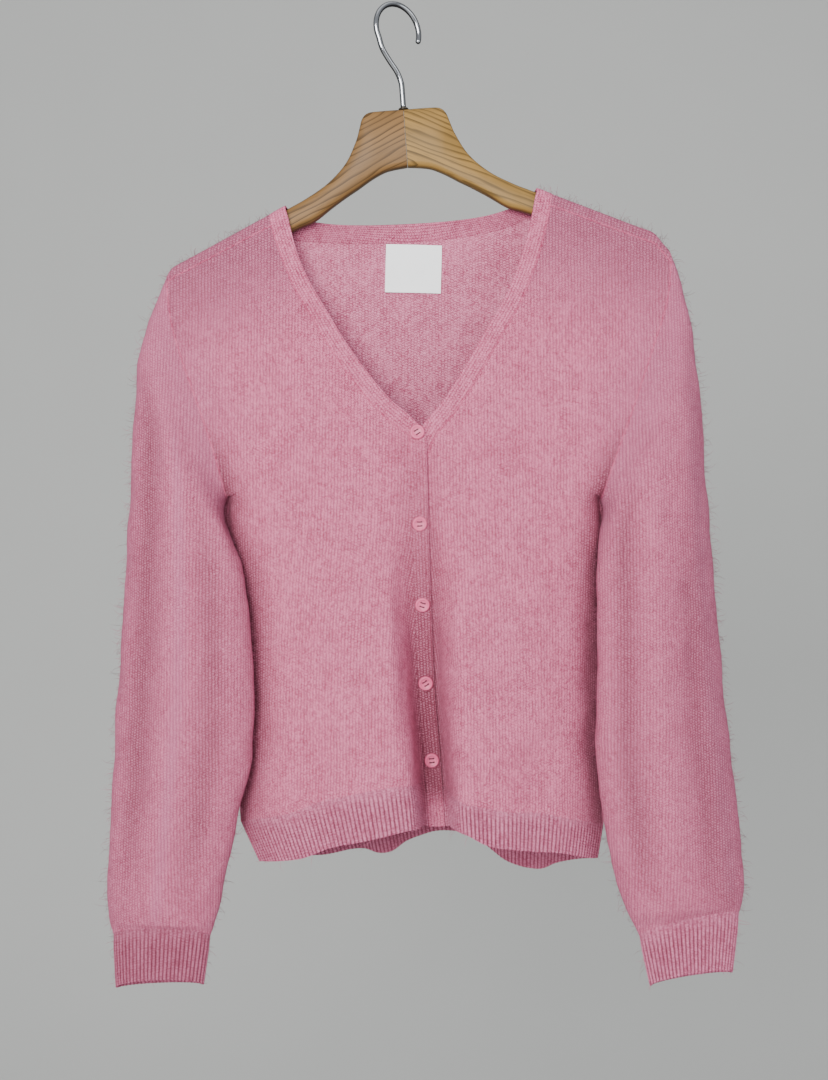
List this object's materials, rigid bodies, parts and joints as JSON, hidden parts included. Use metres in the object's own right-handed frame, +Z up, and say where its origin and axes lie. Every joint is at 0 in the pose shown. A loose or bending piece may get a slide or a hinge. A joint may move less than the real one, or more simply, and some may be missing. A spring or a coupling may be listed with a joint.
{
  "type": "cardigan on a clothes hanger",
  "caption": "Fluffy V-neck cardigan with long sleeves, ribbed cuffs and hem and a buttoned front, hanging on a wooden clothes hanger with a wire hook.",
  "frame": {"origin": "inside top of the hook, where a clothes rail carries it", "axes": "+Z up, -Y the garment's front, +X towards the wearer's left"},
  "size_m": [0.548, 0.1009, 0.8544],
  "materials": {
    "pink_knit": "brushed, hairy plain knit in heathered pink",
    "pink_rib": "brushed rib knit in heathered pink",
    "pink_button": "satin pink resin",
    "white_label": "plain white woven satin, nothing printed",
    "brown_oak": "brown varnished wood, grain along the arm",
    "golden_oak": "golden varnished wood, grain along the arm",
    "dark_collar": "dark bronzed metal",
    "bright_wire": "polished plated wire"
  },
  "bodies": {
    "root": {"front_right": "pink_knit", "front_left": "pink_knit", "back": "pink_knit", "sleeve_right": "pink_knit", "sleeve_left": "pink_knit", "buttonhole_band": "pink_knit", "button_band": "pink_knit", "back_neck_band": "pink_knit", "hem_front_right": "pink_rib", "hem_front_left": "pink_rib", "hem_back": "pink_rib", "cuff_right": "pink_rib", "cuff_left": "pink_rib", "button_1": "pink_button", "button_2": "pink_button", "button_3": "pink_button", "button_4": "pink_button", "button_5": "pink_button", "neck_label": "white_label", "hanger_right": "brown_oak", "hanger_left": "golden_oak", "hook_collar": "dark_collar", "hook": "bright_wire"}
  },
  "joints": []
}
